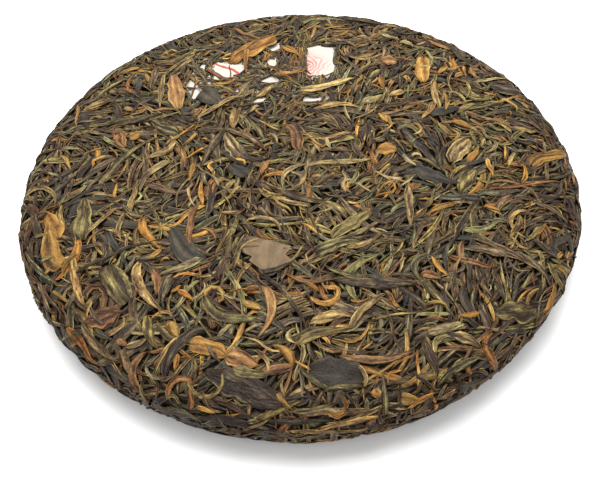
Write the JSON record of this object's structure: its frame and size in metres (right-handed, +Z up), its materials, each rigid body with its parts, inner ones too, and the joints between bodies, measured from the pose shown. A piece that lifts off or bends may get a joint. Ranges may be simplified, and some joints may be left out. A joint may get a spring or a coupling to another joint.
{
  "type": "pu erh tea cake",
  "caption": "Round pressed cake of twisted dry tea leaves, slightly domed, with a rounded rim, a shallow dimple underneath and a paper ticket pressed into its top.",
  "frame": {"origin": "on the surface that the cake lies on, under the centre of the cake", "axes": "+Z up out of the domed top, +X to the viewer's right and +Y away from the viewer, towards the ticket"},
  "size_m": [0.1995, 0.1989, 0.0251],
  "materials": {
    "tea_leaves": "dry pressed tea leaves, matt to slightly waxy, from near black through olive brown to tan and gold",
    "ticket_paper": "thin absorbent paper, matt, with a faint pink print"
  },
  "bodies": {
    "root": {"tea_cake": "tea_leaves", "paper_ticket": "ticket_paper"}
  },
  "joints": []
}
